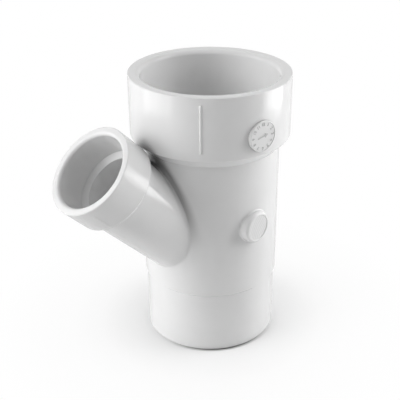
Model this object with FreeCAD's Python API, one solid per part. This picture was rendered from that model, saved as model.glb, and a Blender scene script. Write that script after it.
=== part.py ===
import FreeCAD, Part
import math
import os

# Lateral wye drainage fitting, injection moulded as one piece of white PVC.
# The run stands along +Z, with the centre of its spigot end at the origin.
# The branch rises from the run towards -X, and the mould parts along the XZ plane.
# The gate boss, the mark disc and the alignment ribs are on the -Y side.
# Lengths are in millimetres and angles in degrees.

# Pipes that the fitting joins. The spigot is as wide as the run's pipe.
RUN_PIPE_DIAMETER = 88.9
RUN_PIPE_WALL = 5.5
BRANCH_PIPE_DIAMETER = 48.26
BRANCH_PIPE_WALL = 3.68
SOCKET_CLEARANCE = 0.1

# Walls of the fitting. The body stands proud of the spigot by the step.
BODY_STEP = 1.1
NECK_WALL = 5.2
RUN_HUB_WALL = 7.75
BRANCH_HUB_WALL = 5.27

# Lengths of the run, from its spigot end up. The branch leaves the body between two
# crotches, the lower one above the step and the upper one below the foot of the hub.
SPIGOT_LENGTH = 43.2
STEP_TO_CROTCH = 14.8
CROTCH_TO_HUB = 6.1
RUN_STOP_BACKING = 2.1
RUN_SOCKET_DEPTH = 38.1

# Branch. Its hub starts where it clears the run's hub by the gap.
BRANCH_ANGLE = 45.0
HUB_GAP = 3.55
BRANCH_STOP_BACKING = 0.9
BRANCH_SOCKET_DEPTH = 20.9

# Slopes, measured from the axis that they turn about
SHOULDER_SLOPE = 45.0
RUN_STOP_SLOPE = 75.0
BRANCH_STOP_SLOPE = 57.0

# Edge roundings and chamfers
RIM_CHAMFER = 0.4
RUN_MOUTH_ROUNDING = 3.2
BRANCH_MOUTH_ROUNDING = 2.2
HUB_EDGE_ROUNDING = 1.2
SPIGOT_OUTER_CHAMFER = 0.3
SPIGOT_INNER_CHAMFER = 0.5
CREASE_ROUNDING = 2.0

# Gate boss on the body, where the plastic entered the mould.
# The middle of its face is at the front, and its axis leans from there away from the branch.
BOSS_DIAMETER = 21.8
BOSS_LEAN = 7.5
BOSS_ABOVE_STEP = 48.8
BOSS_RISE = 3.85
BOSS_EDGE_ROUNDING = 2.1
BOSS_FOOT_ROUNDING = 1.0
BOSS_LAND = 0.1
BOSS_RECESS_DEPTH = 0.3

# Flat disc on the run's hub, a place for moulded marks. It sits a little to the branch's side.
DISC_DIAMETER = 20.0
DISC_ASIDE = 2.0
DISC_ABOVE_HUB_EDGE = 2.6
DISC_RISE = 1.1
DISC_CHAMFER = 0.3
DISC_RIM_WIDTH = 0.3
DISC_RECESS_DEPTH = 0.2

# Alignment ribs, half round with round ends, one on each hub.
# The turn is measured about the hub's axis, from the plane of the branch to the front.
RIB_TURN = 45.0
RUN_RIB_RADIUS = 0.8
RUN_RIB_RISE = 0.65
RUN_RIB_BELOW_RIM = 4.3
RUN_RIB_ABOVE_EDGE = 4.9
BRANCH_RIB_RADIUS = 0.8
BRANCH_RIB_RISE = 0.25
BRANCH_RIB_BELOW_RIM = 5.6
BRANCH_RIB_ABOVE_EDGE = 2.2

# Working values that leave no mark on the fitting
CUT_OVERRUN = 5.0
SHORTEST_SIDE = 0.001
CREASE_TOLERANCE = 0.01
CREASE_SAMPLES = 9

ORIGIN = FreeCAD.Vector(0, 0, 0)
UP = FreeCAD.Vector(0, 0, 1)
FRONT = FreeCAD.Vector(0, -1, 0)
TOWARDS_BRANCH = FreeCAD.Vector(-1, 0, 0)


def cone_length(wide_radius, narrow_radius, slope):
    """Length along the axis that a cone of this slope takes between two radii."""
    return (wide_radius - narrow_radius) / math.tan(math.radians(slope))


# Radii
spigot_radius = RUN_PIPE_DIAMETER / 2
run_bore_radius = spigot_radius - RUN_PIPE_WALL
run_socket_radius = spigot_radius + SOCKET_CLEARANCE
run_hub_radius = run_socket_radius + RUN_HUB_WALL
body_radius = spigot_radius + BODY_STEP
branch_bore_radius = BRANCH_PIPE_DIAMETER / 2 - BRANCH_PIPE_WALL
branch_socket_radius = BRANCH_PIPE_DIAMETER / 2 + SOCKET_CLEARANCE
branch_hub_radius = branch_socket_radius + BRANCH_HUB_WALL
neck_radius = branch_bore_radius + NECK_WALL
boss_radius = BOSS_DIAMETER / 2
disc_radius = DISC_DIAMETER / 2

# Heights on the run's axis. The neck's half height is that of its cut through the axis.
branch_tilt = math.radians(BRANCH_ANGLE)
climb_to_surface = body_radius / math.tan(branch_tilt)
neck_half_height = neck_radius / math.sin(branch_tilt)
step_top = SPIGOT_LENGTH + cone_length(body_radius, spigot_radius, SHOULDER_SLOPE)
crossing_height = step_top + STEP_TO_CROTCH + neck_half_height - climb_to_surface
upper_crotch = crossing_height + neck_half_height + climb_to_surface
run_hub_foot = upper_crotch + CROTCH_TO_HUB
run_hub_edge = run_hub_foot + cone_length(run_hub_radius, body_radius, SHOULDER_SLOPE)
run_socket_floor = run_hub_edge + RUN_STOP_BACKING
run_rim = run_socket_floor + RUN_SOCKET_DEPTH

# Axis of the gate boss, and where it starts inside the body
boss_lean = math.radians(BOSS_LEAN)
boss_axis = FRONT * math.cos(boss_lean) - TOWARDS_BRANCH * math.sin(boss_lean)
boss_height = body_radius + BOSS_RISE
boss_face_centre = UP * (SPIGOT_LENGTH + BOSS_ABOVE_STEP) + FRONT * boss_height
boss_base = boss_face_centre - boss_axis * boss_height

# Distances along the branch's axis, from where it crosses the run's axis
crossing = UP * crossing_height
branch_axis = TOWARDS_BRANCH * math.sin(branch_tilt) + UP * math.cos(branch_tilt)
branch_hub_clearance = run_hub_radius + HUB_GAP + branch_hub_radius * math.cos(branch_tilt)
branch_hub_edge = branch_hub_clearance / math.sin(branch_tilt)
branch_hub_foot = branch_hub_edge - cone_length(branch_hub_radius, neck_radius, SHOULDER_SLOPE)
branch_socket_floor = branch_hub_edge + BRANCH_STOP_BACKING
branch_rim = branch_socket_floor + BRANCH_SOCKET_DEPTH


def rounded_corner(before, corner, after, radius):
    """Points where a rounding starts, bows and ends between two straight sides."""
    back = (before - corner).normalize()
    ahead = (after - corner).normalize()
    half_angle = back.getAngle(ahead) / 2
    reach = radius / math.tan(half_angle)
    towards_centre = (back + ahead).normalize()
    bow = radius / math.sin(half_angle) - radius
    return corner + back * reach, corner + towards_centre * bow, corner + ahead * reach


def profile_face(corners):
    """Closed flat outline in the XZ plane from corners of (radius, height, rounding)."""
    points = [FreeCAD.Vector(radius, 0, height) for radius, height, _ in corners]
    edges = []
    stops = []
    for index, (_, _, rounding) in enumerate(corners):
        corner = points[index]
        if rounding > 0:
            before = points[index - 1]
            after = points[(index + 1) % len(points)]
            start, middle, end = rounded_corner(before, corner, after, rounding)
            edges.append(Part.Arc(start, middle, end).toShape())
            stops.append((start, end))
        else:
            stops.append((corner, corner))
    for index, (_, leave) in enumerate(stops):
        arrive = stops[(index + 1) % len(stops)][0]
        if not leave.isEqual(arrive, SHORTEST_SIDE):
            edges.append(Part.LineSegment(leave, arrive).toShape())
    return Part.Face(Part.Wire(Part.__sortEdges__(edges)))


def turned(corners, base, axis):
    """Solid turned from a profile whose own axis is +Z, then set at base along axis."""
    solid = profile_face(corners).revolve(ORIGIN, UP, 360)
    solid.Placement = FreeCAD.Placement(base, FreeCAD.Rotation(UP, axis))
    return solid


def distance_from_axis(point, base, axis):
    """How far a point lies from the line through base along axis."""
    return (point - base).cross(axis).Length


def crease_edges(solid, cylinders):
    """Edges of the solid that lie on every one of the cylinders (base, axis, radius)."""
    return [
        edge
        for edge in solid.Edges
        if all(
            abs(distance_from_axis(point, base, axis) - radius) < CREASE_TOLERANCE
            for point in edge.discretize(CREASE_SAMPLES)
            for base, axis, radius in cylinders
        )
    ]


def joined(solid, other, cylinders, rounding):
    """Two solids fused, with a rounding along the crease between their cylinders."""
    whole = solid.fuse(other).removeSplitter()
    return whole.makeFillet(rounding, crease_edges(whole, cylinders))


def body_and_neck():
    """Body and neck as plain rods that cross and end inside their hubs."""
    body_length = run_socket_floor - step_top
    body = Part.makeCylinder(body_radius, body_length, UP * step_top, UP)
    neck = Part.makeCylinder(neck_radius, branch_socket_floor, crossing, branch_axis)
    cylinders = [(ORIGIN, UP, body_radius), (crossing, branch_axis, neck_radius)]
    return joined(body, neck, cylinders, CREASE_ROUNDING)


def run_outside():
    """Outer form of the run: spigot, body and hub, solid through."""
    corners = [
        (0, 0, 0),
        (spigot_radius - SPIGOT_OUTER_CHAMFER, 0, 0),
        (spigot_radius, SPIGOT_OUTER_CHAMFER, 0),
        (spigot_radius, SPIGOT_LENGTH, 0),
        (body_radius, step_top, 0),
        (body_radius, run_hub_foot, 0),
        (run_hub_radius, run_hub_edge, HUB_EDGE_ROUNDING),
        (run_hub_radius, run_rim - RIM_CHAMFER, 0),
        (run_hub_radius - RIM_CHAMFER, run_rim, 0),
        (0, run_rim, 0),
    ]
    return turned(corners, ORIGIN, UP)


def branch_hub():
    """Outer form of the branch's hub, solid through."""
    corners = [
        (0, branch_hub_foot, 0),
        (neck_radius, branch_hub_foot, 0),
        (branch_hub_radius, branch_hub_edge, HUB_EDGE_ROUNDING),
        (branch_hub_radius, branch_rim - RIM_CHAMFER, 0),
        (branch_hub_radius - RIM_CHAMFER, branch_rim, 0),
        (0, branch_rim, 0),
    ]
    return turned(corners, crossing, branch_axis)


def gate_boss():
    """Boss with a rounded edge and a shallow recess where the gate was trimmed off."""
    recess_radius = boss_radius - BOSS_EDGE_ROUNDING - BOSS_LAND
    recess_floor = boss_height - BOSS_RECESS_DEPTH
    corners = [
        (0, 0, 0),
        (boss_radius, 0, 0),
        (boss_radius, boss_height, BOSS_EDGE_ROUNDING),
        (recess_radius, boss_height, 0),
        (recess_radius - BOSS_RECESS_DEPTH, recess_floor, 0),
        (0, recess_floor, 0),
    ]
    return turned(corners, boss_base, boss_axis)


def mark_disc():
    """Disc that stands proud of the run's hub, its face sunk inside a thin rim.

    It is rooted in the middle of the hub's wall.
    """
    root = run_socket_radius + RUN_HUB_WALL / 2
    centre_height = run_hub_edge + DISC_ABOVE_HUB_EDGE + disc_radius
    rim = run_hub_radius + DISC_RISE
    face = rim - DISC_RECESS_DEPTH
    face_radius = disc_radius - DISC_CHAMFER - DISC_RIM_WIDTH
    corners = [
        (0, root, 0),
        (disc_radius, root, 0),
        (disc_radius, rim - DISC_CHAMFER, 0),
        (disc_radius - DISC_CHAMFER, rim, 0),
        (face_radius, rim, 0),
        (face_radius, face, 0),
        (0, face, 0),
    ]
    return turned(corners, UP * centre_height + TOWARDS_BRANCH * DISC_ASIDE, FRONT)


def round_rib(base, axis, outward, start, end, radius):
    """Bar with a ball at each end that runs beside an axis, from start to end along it."""
    first_ball = base + outward + axis * (start + radius)
    last_ball = base + outward + axis * (end - radius)
    bar = Part.makeCylinder(radius, (last_ball - first_ball).Length, first_ball, axis)
    balls = [Part.makeSphere(radius, centre) for centre in (first_ball, last_ball)]
    return bar.fuse(balls).removeSplitter()


def turned_to_front(side):
    """Direction between a side of a hub and the front, at the ribs' turn."""
    turn = math.radians(RIB_TURN)
    return side * math.cos(turn) + FRONT * math.sin(turn)


def run_rib():
    """Alignment rib on the run's hub, between the branch side and the front."""
    outward = turned_to_front(TOWARDS_BRANCH) * (run_hub_radius + RUN_RIB_RISE - RUN_RIB_RADIUS)
    start = run_hub_edge + RUN_RIB_ABOVE_EDGE
    end = run_rim - RUN_RIB_BELOW_RIM
    return round_rib(ORIGIN, UP, outward, start, end, RUN_RIB_RADIUS)


def branch_rib():
    """Alignment rib on the branch's hub, between its underside and the front."""
    underside = FRONT.cross(branch_axis)
    rib_centre = branch_hub_radius + BRANCH_RIB_RISE - BRANCH_RIB_RADIUS
    outward = turned_to_front(underside) * rib_centre
    start = branch_hub_edge + BRANCH_RIB_ABOVE_EDGE
    end = branch_rim - BRANCH_RIB_BELOW_RIM
    return round_rib(crossing, branch_axis, outward, start, end, BRANCH_RIB_RADIUS)


def socket_corners(bore_radius, socket_radius, stop_slope, floor, rim, mouth_rounding):
    """Upper part of a passage's profile: bore, sloped stop, socket and rounded mouth."""
    stop_edge = floor - cone_length(socket_radius, bore_radius, stop_slope)
    mouth_radius = socket_radius + mouth_rounding
    return [
        (bore_radius, stop_edge, 0),
        (socket_radius, floor, 0),
        (socket_radius, rim, mouth_rounding),
        (mouth_radius, rim, 0),
        (mouth_radius, rim + CUT_OVERRUN, 0),
        (0, rim + CUT_OVERRUN, 0),
    ]


def run_passage():
    """Hollow of the run, from below the spigot end to above the rim."""
    end_radius = run_bore_radius + SPIGOT_INNER_CHAMFER
    corners = [
        (0, -CUT_OVERRUN, 0),
        (end_radius, -CUT_OVERRUN, 0),
        (end_radius, 0, 0),
        (run_bore_radius, SPIGOT_INNER_CHAMFER, 0),
    ]
    corners += socket_corners(
        run_bore_radius,
        run_socket_radius,
        RUN_STOP_SLOPE,
        run_socket_floor,
        run_rim,
        RUN_MOUTH_ROUNDING,
    )
    return turned(corners, ORIGIN, UP)


def branch_passage():
    """Hollow of the branch, from where the axes cross to beyond the rim."""
    corners = [
        (0, 0, 0),
        (branch_bore_radius, 0, 0),
    ]
    corners += socket_corners(
        branch_bore_radius,
        branch_socket_radius,
        BRANCH_STOP_SLOPE,
        branch_socket_floor,
        branch_rim,
        BRANCH_MOUTH_ROUNDING,
    )
    return turned(corners, crossing, branch_axis)


def outer_form():
    """Outer form of the fitting, solid through, with its creases rounded."""
    cylinders = [(ORIGIN, UP, body_radius), (boss_base, boss_axis, boss_radius)]
    rods = joined(body_and_neck(), gate_boss(), cylinders, BOSS_FOOT_ROUNDING)
    return run_outside().fuse([rods, branch_hub(), mark_disc(), run_rib(), branch_rib()])


def wye_body():
    """The whole fitting as one solid: the outer form with both passages cut away."""
    solid = outer_form().removeSplitter()
    solid = solid.cut(run_passage()).cut(branch_passage())
    return solid.removeSplitter().Solids[0]


def main():
    os.makedirs("parts", exist_ok=True)
    wye_body().exportStep("parts/wye_body.step")


if __name__ == "__main__":
    main()
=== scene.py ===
"""Looks, light and camera for the lateral wye fitting, a one piece pipe fitting of glossy white PVC.

All lengths are metres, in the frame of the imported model: +Z up the run, the branch towards -X, and
the gate boss and the date dial on the side that faces -Y.
"""

import math

import bmesh
import bpy
from mathutils import Matrix, Vector


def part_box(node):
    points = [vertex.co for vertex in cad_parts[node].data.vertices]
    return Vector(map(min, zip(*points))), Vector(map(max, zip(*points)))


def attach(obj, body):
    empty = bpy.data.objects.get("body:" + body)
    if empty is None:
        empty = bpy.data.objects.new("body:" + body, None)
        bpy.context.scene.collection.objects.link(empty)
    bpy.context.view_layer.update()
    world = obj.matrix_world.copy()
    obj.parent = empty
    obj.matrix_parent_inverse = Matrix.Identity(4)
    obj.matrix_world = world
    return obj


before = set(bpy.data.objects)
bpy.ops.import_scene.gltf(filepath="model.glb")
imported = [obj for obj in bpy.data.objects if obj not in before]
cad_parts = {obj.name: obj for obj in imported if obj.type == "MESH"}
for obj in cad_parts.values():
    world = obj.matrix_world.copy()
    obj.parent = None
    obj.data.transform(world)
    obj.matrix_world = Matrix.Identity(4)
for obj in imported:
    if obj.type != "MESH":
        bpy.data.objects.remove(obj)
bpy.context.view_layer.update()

MM = 0.001

# Places on the body, taken from its box: the rim is its top, and the rim of the dial's disc is
# nearest to the front
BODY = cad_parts["wye_body"]
BODY_LOW, BODY_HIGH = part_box("wye_body")
DIAL_ASIDE = 2.0 * MM
DIAL_BELOW_RIM = 27.6 * MM
DIAL_SUNK = 0.2 * MM
DIAL_CENTRE = Vector((-DIAL_ASIDE, BODY_LOW.y + DIAL_SUNK, BODY_HIGH.z - DIAL_BELOW_RIM))
BOSS_BELOW_RIM = 92.7 * MM
BOSS_BEHIND_DIAL = 4.0 * MM
BOSS_CENTRE = Vector((0, BODY_LOW.y + BOSS_BEHIND_DIAL, BODY_HIGH.z - BOSS_BELOW_RIM))
BOSS_FACE_RADIUS = 8.6 * MM

# Date dial: a ring of plain numbers round a pointer, as high as the disc's thin rim. Its marks have
# a root just below the disc's face.
DIAL_NUMBERS = 12
DIAL_RING_RADIUS = 7.6 * MM
DIAL_DIGIT_SIZE = 2.7 * MM
DIAL_DIGIT_BOLDNESS = 0.06 * MM
DIAL_DIGIT_CURVE_STEPS = 3
DIAL_ROOT = 0.05 * MM
POINTER_LENGTH = 8.4 * MM
POINTER_WIDTH = 0.8 * MM
POINTER_HEAD_LENGTH = 2.6 * MM
POINTER_HEAD_WIDTH = 3.0 * MM
POINTER_TURN = 12.0

# Painted shade on the raised marks: how bright their plastic is beside the body's, where 1 is the same
MARK_PAINTED_SHADE = 0.72

# Fine curved lines that the blade left where it trimmed the gate off the boss: where the curves'
# centre lies from the boss's, how many of them there are to a metre, how deep they are, how much and
# how finely they waver, how much they darken, and over what width they end at the face's edge
TRIM_SWING = Vector((26.0 * MM, 0, -15.0 * MM))
TRIM_LINES_TO_A_METRE = 520.0
TRIM_LINE_DEPTH = 0.03 * MM
TRIM_DISTORTION = 3.0
TRIM_DETAIL = 2.0
TRIM_LINE_SHADE = 0.10
TRIM_EDGE = 0.6 * MM

# The plastic: how strongly it refracts, its greys in the dull and the clean patches and where
# between them it turns, and how rough its gloss is at least and at most
PLASTIC_REFRACTION = 1.53
PLASTIC_GREYS = (0.835, 0.865)
PLASTIC_TURNS = (0.35, 0.70)
GLOSS_ROUGHNESS = (0.04, 0.08)

# Patterns in the plastic, as waves to a metre and how finely each is broken up: the patches of its
# grey and of its gloss, the flow of the melt and the grain of the mould, and how deep these two are
GREY_PATTERN = (34.0, 3.0)
GLOSS_PATTERN = (90.0, 5.0)
FLOW_PATTERN = (26.0, 1.0)
FLOW_DEPTH = 0.10 * MM
GRAIN_PATTERN = (900.0, 2.0)
GRAIN_DEPTH = 0.002 * MM

# Edges that turn by more than this many degrees are shaded as sharp
SHARP_ANGLE = 30.0

# Painted shade in crevices: the plastic's colour is darkened where little is open around a point.
# How far around a point its openness is felt, between which shares of openness the painted shade
# fades from its darkest to none, how bright the darkest is, where 1 is the same as an open face, and
# how many rays feel it
CREVICE_REACH = 8.0 * MM
CREVICE_OPENNESS = (0.23, 0.84)
CREVICE_SHADE = 0.40
CREVICE_RAYS = 12

# Painted shade on the body in the inner corner that it makes with the branch: from the neck's
# surface to a width beside it, and more so higher up, where the corner is sharper. The painted shade
# ends between the two margins outside the body's radius, so that the hubs have none of it.
BODY_RADIUS = 45.55 * MM
NECK_RADIUS = 25.65 * MM
BRANCH_START = Vector((0, 0, 49.82 * MM))
BRANCH_ALONG = Vector((-1, 0, 1)).normalized()
CREASE_SHADE = 0.50
CREASE_EDGE = 1.0 * MM
CREASE_WIDTH = 7.5 * MM
CREASE_MARGIN = (2.0 * MM, 4.0 * MM)
CREASE_HEIGHTS = (75.0 * MM, 118.0 * MM)

# Camera, solved from the photograph's own circles, and the nearest that it sees
CAMERA_PLACE = (-308.27 * MM, -382.25 * MM, 343.42 * MM)
CAMERA_TILT = 27.065
CAMERA_HEADING = -39.15
CAMERA_LENS = 72.546
CAMERA_SHIFT = -0.0340
CAMERA_NEAREST = 10.0 * MM

# The length of one wave in a wave texture of scale 1, which turns a number of waves to a metre into
# the texture's scale
METRES_TO_A_WAVE = 2 * math.pi / 20

# The light and the background are plain white
WHITE = (1.0, 1.0, 1.0, 1.0)

# How white the studio is in the plastic's reflections, where 1 is as white as the background
WHITE_IN_GLOSS = 0.65

# Sides of the room that light the object. For each: its azimuth and elevation as seen from the
# object, how narrow it is, and its strength. The side behind the camera stays dim.
ROOM_SIDES = (
    (160.0, 30.0, 16.0, 4.05),
    (150.0, 12.0, 16.0, 1.15),
    (90.0, 12.0, 16.0, 0.15),
    (60.0, 12.0, 16.0, 1.40),
    (60.0, 45.0, 10.0, 0.25),
    (30.0, 12.0, 16.0, 0.40),
    (0.0, 12.0, 16.0, 0.27),
    (0.0, 45.0, 10.0, 0.70),
    (-30.0, 12.0, 16.0, 0.85),
    (-40.0, 30.0, 16.0, 2.25),
    (-45.0, 45.0, 10.0, 0.30),
    (-165.0, 45.0, 10.0, 0.16),
)

# Softboxes stand upright round the object and face it. For each: its name, the azimuths of its two
# side edges seen from the axis, its distance, its bottom and top heights, how far up from the
# bottom its light takes to reach its full strength, and its radiance. A narrow strip in front of the
# right panel gives the branch its crisp bright line.
SOFTBOXES = (
    ("softbox_left", 133.0, 181.0, 0.35, 0.032, 0.50, 0.022, 1.32),
    ("softbox_right", -57.5, -20.0, 0.28, 0.057, 0.50, 0.020, 1.75),
    ("softbox_right_strip", -52.0, -20.0, 0.27, 0.081, 0.135, 0.006, 2.05),
)

# Floor. It lies a hair below the object. It glows white where it is seen, by a share that grows
# with the distance from the axis and leaves room for the object's shadow. For each distance: that
# share.
FLOOR_RADIUS = 8.0
FLOOR_CORNERS = 64
FLOOR_DROP = 0.02 * MM
FLOOR_SHADE = 0.90
FLOOR_GLOW = (
    (0.0465, 0.00),
    (0.050, 0.28),
    (0.056, 0.42),
    (0.065, 0.60),
    (0.080, 0.82),
    (0.100, 0.92),
    (0.160, 1.00),
)

# Painted contact shadow on the floor under the spigot's chamfer: the paper is darker from the spigot's
# bore to where it is clear, and darkest towards one azimuth, which the softboxes reach least
SPIGOT_BORE_RADIUS = 38.95 * MM
GAP_SHADE = 0.10
GAP_DARK = 44.6 * MM
GAP_CLEAR = 47.0 * MM
GAP_AZIMUTH = -118.0
GAP_NARROWNESS = 4.0


def add_node(tree, kind, **values):
    """Adds a node and sets the inputs named in values, with _ for a blank in an input's name."""
    node = tree.nodes.new(kind)
    for name, value in values.items():
        node.inputs[name.replace("_", " ")].default_value = value
    return node


def join(tree, start, end):
    tree.links.new(end, start)


def maths(tree, operation, *values):
    """A maths node; its values are sockets or plain numbers. Gives the result's socket."""
    node = tree.nodes.new("ShaderNodeMath")
    node.operation = operation
    for socket, value in zip(node.inputs, values):
        if isinstance(value, (int, float)):
            socket.default_value = value
        else:
            join(tree, value, socket)
    return node.outputs[0]


def vector_maths(tree, operation, first, second=(0, 0, 0)):
    """A vector maths node; the second value is a plain vector. Gives its outputs, Value and Vector."""
    node = tree.nodes.new("ShaderNodeVectorMath")
    node.operation = operation
    join(tree, first, node.inputs[0])
    node.inputs[1].default_value = second
    return node.outputs


def growth(tree, value, start, end, least=0.0):
    """A share that grows smoothly with a value, from the least at its start to 1 at its end."""
    node = add_node(tree, "ShaderNodeMapRange", From_Min=start, From_Max=end, To_Min=least)
    node.interpolation_type = "SMOOTHSTEP"
    join(tree, value, node.inputs["Value"])
    return node.outputs["Result"]


def distance_from_line(tree, place, start, along):
    """Distance of a place from the line through a start along a unit vector."""
    offset = vector_maths(tree, "SUBTRACT", place, start)["Vector"]
    across = vector_maths(tree, "CROSS_PRODUCT", offset, along)["Vector"]
    return vector_maths(tree, "LENGTH", across)["Value"]


def direction(azimuth, elevation):
    """Unit vector towards an azimuth and an elevation in degrees."""
    turn = math.radians(azimuth)
    rise = math.radians(elevation)
    return Vector((math.cos(rise) * math.cos(turn), math.cos(rise) * math.sin(turn), math.sin(rise)))


def seen_directly(tree):
    """Whether a ray shows what it meets, 0 or 1, and how white the studio looks to it."""
    light_path = add_node(tree, "ShaderNodeLightPath")
    glossy = light_path.outputs["Is Glossy Ray"]
    bare = maths(
        tree, "MAXIMUM", light_path.outputs["Is Camera Ray"], light_path.outputs["Is Transmission Ray"]
    )
    seen = maths(tree, "MAXIMUM", bare, glossy)
    whiteness = maths(tree, "MULTIPLY_ADD", glossy, WHITE_IN_GLOSS, bare)
    return seen, whiteness


def white_world():
    """Plain white where it is seen, and soft light from the sides of the room for the object."""
    world = bpy.data.worlds.new("studio_world")
    bpy.context.scene.world = world
    world.use_nodes = True
    tree = world.node_tree
    background = tree.nodes["Background"]
    background.inputs["Color"].default_value = WHITE
    towards = add_node(tree, "ShaderNodeTexCoord").outputs["Generated"]
    light = 0.0
    for azimuth, elevation, narrowness, strength in ROOM_SIDES:
        facing = vector_maths(tree, "DOT_PRODUCT", towards, direction(azimuth, elevation))["Value"]
        glow = maths(tree, "POWER", maths(tree, "MAXIMUM", facing, 0.0), narrowness)
        light = maths(tree, "MULTIPLY_ADD", glow, strength, light)
    seen, whiteness = seen_directly(tree)
    unseen = maths(tree, "SUBTRACT", 1.0, seen)
    join(tree, maths(tree, "MULTIPLY_ADD", unseen, light, whiteness), background.inputs["Strength"])


def softbox(name, edge_a, edge_b, distance, low, high, fade, radiance):
    """An upright panel of light that faces the object's axis, with a soft lower edge."""
    azimuth = math.radians((edge_a + edge_b) / 2)
    half_angle = math.radians(abs(edge_b - edge_a) / 2)
    width = 2 * distance * math.tan(half_angle)
    height = high - low
    lamp = bpy.data.lights.new(name, "AREA")
    lamp.shape = "RECTANGLE"
    lamp.size = width
    lamp.size_y = height
    lamp.energy = radiance * math.pi * width * height
    panel = bpy.data.objects.new(name, lamp)
    bpy.context.scene.collection.objects.link(panel)
    panel.location = (distance * math.cos(azimuth), distance * math.sin(azimuth), (low + high) / 2)
    panel.rotation_euler = (math.pi / 2, 0, azimuth + math.pi / 2)
    panel.visible_camera = False
    soften_lower_edge(lamp, low, low + fade)


def soften_lower_edge(lamp, dark_height, full_height):
    """Makes the lamp's light grow from nothing at one height to its full strength at another."""
    lamp.use_nodes = True
    tree = lamp.node_tree
    parts = add_node(tree, "ShaderNodeSeparateXYZ")
    join(tree, add_node(tree, "ShaderNodeNewGeometry").outputs["Position"], parts.inputs[0])
    share = growth(tree, parts.outputs["Z"], dark_height, full_height)
    join(tree, share, tree.nodes["Emission"].inputs["Strength"])


def studio_floor():
    """A pale floor. It takes the object's shadow near it, and turns plain white further out."""
    mesh = bpy.data.meshes.new("studio_floor")
    shape = bmesh.new()
    bmesh.ops.create_circle(shape, cap_ends=True, segments=FLOOR_CORNERS, radius=FLOOR_RADIUS)
    shape.to_mesh(mesh)
    shape.free()
    floor = bpy.data.objects.new("studio_floor", mesh)
    bpy.context.scene.collection.objects.link(floor)
    floor.location = (0, 0, BODY_LOW.z - FLOOR_DROP)
    floor.data.materials.append(floor_material())


def floor_material():
    """White paper with a painted shadow line under the spigot's edge, fading into an even white glow.
    """
    material = bpy.data.materials.new("studio_floor")
    material.use_nodes = True
    tree = material.node_tree
    tree.nodes.remove(tree.nodes["Principled BSDF"])
    output = tree.nodes["Material Output"]
    paper = add_node(tree, "ShaderNodeBsdfDiffuse")
    glow = add_node(tree, "ShaderNodeEmission", Color=WHITE)
    mixer = add_node(tree, "ShaderNodeMixShader")
    spot = add_node(tree, "ShaderNodeTexCoord").outputs["Object"]
    distance = vector_maths(tree, "LENGTH", spot)["Value"]
    # Painted contact shadow: the paper is darkened near the spigot's edge, most towards the gap's
    # azimuth.
    gap = add_node(tree, "ShaderNodeMapRange", From_Min=GAP_CLEAR, From_Max=GAP_DARK)
    gap.inputs["To Max"].default_value = FLOOR_SHADE - GAP_SHADE
    join(tree, distance, gap.inputs["Value"])
    forward = vector_maths(tree, "DOT_PRODUCT", spot, direction(GAP_AZIMUTH, 0))["Value"]
    facing = maths(tree, "MAXIMUM", maths(tree, "DIVIDE", forward, distance), 0.0)
    painted_shadow = maths(tree, "POWER", facing, GAP_NARROWNESS)
    painted_shadow = maths(tree, "MULTIPLY", painted_shadow, gap.outputs["Result"])
    painted_shadow = maths(tree, "MULTIPLY", painted_shadow, growth(tree, distance, SPIGOT_BORE_RADIUS, GAP_DARK))
    join(tree, maths(tree, "SUBTRACT", FLOOR_SHADE, painted_shadow), paper.inputs["Color"])
    reach = FLOOR_GLOW[-1][0]
    share = add_node(tree, "ShaderNodeValToRGB")
    steps = share.color_ramp.elements
    while len(steps) < len(FLOOR_GLOW):
        steps.new(1.0)
    for step, (radius, glow_share) in zip(steps, FLOOR_GLOW):
        step.position = radius / reach
        step.color = grey(glow_share)
    join(tree, maths(tree, "DIVIDE", distance, reach), share.inputs["Fac"])
    seen, whiteness = seen_directly(tree)
    join(tree, whiteness, glow.inputs["Strength"])
    join(tree, maths(tree, "MULTIPLY", seen, share.outputs["Color"]), mixer.inputs["Fac"])
    join(tree, paper.outputs[0], mixer.inputs[1])
    join(tree, glow.outputs[0], mixer.inputs[2])
    join(tree, mixer.outputs[0], output.inputs["Surface"])
    return material


def grey(level):
    return (level, level, level, 1.0)


def noise(tree, coordinates, scale, detail):
    node = add_node(tree, "ShaderNodeTexNoise", Scale=scale, Detail=detail)
    join(tree, coordinates, node.inputs["Vector"])
    return node.outputs["Fac"]


def bump(tree, height, depth, under=None):
    """A bump of the given depth in metres, laid over the normal of the bump under it."""
    node = add_node(tree, "ShaderNodeBump", Strength=1.0, Distance=depth)
    join(tree, height, node.inputs["Height"])
    if under is not None:
        join(tree, under, node.inputs["Normal"])
    return node.outputs["Normal"]


def trim_lines(tree, place):
    """Height of the trim lines: waves round a far centre on the boss's face, and 0 elsewhere."""
    waves = add_node(tree, "ShaderNodeTexWave", Distortion=TRIM_DISTORTION, Detail=TRIM_DETAIL)
    waves.inputs["Scale"].default_value = TRIM_LINES_TO_A_METRE * METRES_TO_A_WAVE
    waves.wave_type = "RINGS"
    waves.rings_direction = "SPHERICAL"
    from_swing = vector_maths(tree, "SUBTRACT", place, BOSS_CENTRE + TRIM_SWING)["Vector"]
    join(tree, from_swing, waves.inputs["Vector"])
    from_boss = vector_maths(tree, "DISTANCE", place, BOSS_CENTRE)["Value"]
    face = add_node(
        tree, "ShaderNodeMapRange", From_Min=BOSS_FACE_RADIUS, From_Max=BOSS_FACE_RADIUS - TRIM_EDGE
    )
    join(tree, from_boss, face.inputs["Value"])
    return maths(tree, "MULTIPLY", waves.outputs["Fac"], face.outputs["Result"])


def crevice_cleanness(tree):
    """Painted shade in crevices: a colour factor from its darkest in a crevice to 1 on an open face."""
    openness = add_node(tree, "ShaderNodeAmbientOcclusion", Distance=CREVICE_REACH)
    openness.only_local = True
    openness.samples = CREVICE_RAYS
    return growth(tree, openness.outputs["AO"], *CREVICE_OPENNESS, CREVICE_SHADE)


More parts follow.
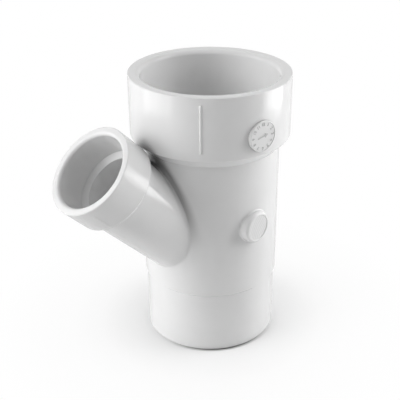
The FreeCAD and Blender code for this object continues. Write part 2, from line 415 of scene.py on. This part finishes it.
def crease_cleanness(tree, place):
    """Painted shade beside the branch: a colour factor, darkest in the corner and 1 away from it."""
    beside = distance_from_line(tree, place, BRANCH_START, BRANCH_ALONG)
    beside = maths(tree, "SUBTRACT", beside, NECK_RADIUS)
    outside = distance_from_line(tree, place, Vector((0, 0, 0)), Vector((0, 0, 1)))
    outside = maths(tree, "SUBTRACT", outside, BODY_RADIUS)
    parts = add_node(tree, "ShaderNodeSeparateXYZ")
    join(tree, place, parts.inputs[0])
    shade = growth(tree, beside, 0.0, CREASE_EDGE)
    shade = maths(tree, "MULTIPLY", shade, growth(tree, beside, CREASE_WIDTH, CREASE_EDGE))
    shade = maths(tree, "MULTIPLY", shade, growth(tree, outside, CREASE_MARGIN[1], CREASE_MARGIN[0]))
    shade = maths(tree, "MULTIPLY", shade, growth(tree, parts.outputs["Z"], *CREASE_HEIGHTS))
    return maths(tree, "MULTIPLY_ADD", shade, -CREASE_SHADE, 1.0)


def pvc_material(name, brightness=1.0):
    """White PVC straight from a polished mould: a soft gloss, with a faint flow and grain."""
    material = bpy.data.materials.new(name)
    material.use_nodes = True
    tree = material.node_tree
    shader = tree.nodes["Principled BSDF"]
    shader.inputs["IOR"].default_value = PLASTIC_REFRACTION
    place = add_node(tree, "ShaderNodeTexCoord").outputs["Object"]
    lines = trim_lines(tree, place)

    tint = add_node(tree, "ShaderNodeValToRGB")
    for step, position, level in zip(tint.color_ramp.elements, PLASTIC_TURNS, PLASTIC_GREYS):
        step.position = position
        step.color = grey(level * brightness)
    join(tree, noise(tree, place, *GREY_PATTERN), tint.inputs["Fac"])
    # The colour is darkened along the trim lines, and by painted shade in crevices and in the corner
    # beside the branch.
    trim_lines_and_painted_shade = maths(tree, "MULTIPLY_ADD", lines, -TRIM_LINE_SHADE, 1.0)
    trim_lines_and_painted_shade = maths(tree, "MULTIPLY", trim_lines_and_painted_shade, crevice_cleanness(tree))
    trim_lines_and_painted_shade = maths(tree, "MULTIPLY", trim_lines_and_painted_shade, crease_cleanness(tree, place))
    colour = add_node(tree, "ShaderNodeVectorMath")
    colour.operation = "SCALE"
    join(tree, tint.outputs["Color"], colour.inputs[0])
    join(tree, trim_lines_and_painted_shade, colour.inputs["Scale"])
    join(tree, colour.outputs["Vector"], shader.inputs["Base Color"])

    gloss = add_node(tree, "ShaderNodeMapRange", To_Min=GLOSS_ROUGHNESS[0], To_Max=GLOSS_ROUGHNESS[1])
    join(tree, noise(tree, place, *GLOSS_PATTERN), gloss.inputs["Value"])
    join(tree, gloss.outputs["Result"], shader.inputs["Roughness"])

    flow = bump(tree, noise(tree, place, *FLOW_PATTERN), FLOW_DEPTH)
    grain = bump(tree, noise(tree, place, *GRAIN_PATTERN), GRAIN_DEPTH, flow)
    trimmed = bump(tree, lines, TRIM_LINE_DEPTH, grain)
    join(tree, trimmed, shader.inputs["Normal"])
    return material


def dress_body(material):
    """Gives the body its plastic and shades its round faces smoothly between its sharp edges."""
    for slot in BODY.material_slots:
        slot.material = material
    mesh = BODY.data
    mesh.shade_smooth()
    mesh.set_sharp_from_angle(angle=math.radians(SHARP_ANGLE))
    evened = BODY.modifiers.new("large_faces_first", "WEIGHTED_NORMAL")
    evened.mode = "FACE_AREA"
    evened.keep_sharp = True


def dial_frame():
    """The dial's own axes: X to the right and Y up as it is read, Z out of its face."""
    return Matrix.Translation(DIAL_CENTRE) @ Matrix.Rotation(math.pi / 2, 4, "X")


def add_number(shape, number, turn):
    """Adds one raised number to the dial's ring, its foot towards the centre."""
    text = bpy.data.curves.new("number", "FONT")
    text.body = str(number)
    text.size = DIAL_DIGIT_SIZE
    text.align_x = "CENTER"
    text.align_y = "CENTER"
    text.resolution_u = DIAL_DIGIT_CURVE_STEPS
    text.offset = DIAL_DIGIT_BOLDNESS
    text.extrude = (DIAL_SUNK + DIAL_ROOT) / 2
    holder = bpy.data.objects.new("number", text)
    mesh = bpy.data.meshes.new_from_object(holder)
    spot = Matrix.Rotation(-turn, 4, "Z") @ Matrix.Translation(
        (0, DIAL_RING_RADIUS, (DIAL_SUNK - DIAL_ROOT) / 2)
    )
    mesh.transform(dial_frame() @ spot)
    shape.from_mesh(mesh)
    bpy.data.meshes.remove(mesh)
    bpy.data.objects.remove(holder)
    bpy.data.curves.remove(text)


def add_pointer(shape):
    """Adds the raised pointer in the middle of the dial, a bar with an arrow's head."""
    tip = POINTER_LENGTH / 2
    neck = tip - POINTER_HEAD_LENGTH
    half = POINTER_WIDTH / 2
    head = POINTER_HEAD_WIDTH / 2
    outline = (
        (tip, 0), (neck, head), (neck, half), (-tip, half), (-tip, -half), (neck, -half), (neck, -head),
    )
    turned = dial_frame() @ Matrix.Rotation(math.radians(POINTER_TURN), 4, "Z")
    lower = [shape.verts.new(turned @ Vector((x, y, -DIAL_ROOT))) for x, y in outline]
    upper = [shape.verts.new(turned @ Vector((x, y, DIAL_SUNK))) for x, y in outline]
    shape.faces.new(upper)
    shape.faces.new(lower[::-1])
    count = len(outline)
    for index in range(count):
        after = (index + 1) % count
        shape.faces.new((lower[index], lower[after], upper[after], upper[index]))


def date_dial(material):
    """The raised marks on the dial's disc, one piece."""
    shape = bmesh.new()
    for number in range(1, DIAL_NUMBERS + 1):
        add_number(shape, number, 2 * math.pi * number / DIAL_NUMBERS)
    add_pointer(shape)
    bmesh.ops.recalc_face_normals(shape, faces=shape.faces)
    mesh = bpy.data.meshes.new("dial_marks")
    shape.to_mesh(mesh)
    shape.free()
    marks = bpy.data.objects.new("dial_marks", mesh)
    bpy.context.scene.collection.objects.link(marks)
    marks.data.materials.append(material)
    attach(marks, "root")


def camera():
    """The photograph's viewpoint, lens and framing."""
    lens = bpy.data.cameras.new("camera")
    lens.lens = CAMERA_LENS
    lens.shift_x = CAMERA_SHIFT
    lens.clip_start = CAMERA_NEAREST
    viewer = bpy.data.objects.new("camera", lens)
    bpy.context.scene.collection.objects.link(viewer)
    viewer.location = CAMERA_PLACE
    viewer.rotation_euler = (math.radians(90 - CAMERA_TILT), 0, math.radians(CAMERA_HEADING))
    bpy.context.scene.camera = viewer


def main():
    bpy.context.scene.view_settings.view_transform = "Standard"
    camera()
    white_world()
    studio_floor()
    for row in SOFTBOXES:
        softbox(*row)
    dress_body(pvc_material("white_pvc"))
    # The marks get a darker copy of the plastic, painted shade for their raised relief.
    date_dial(pvc_material("white_pvc_marks_painted_shade", MARK_PAINTED_SHADE))


main()
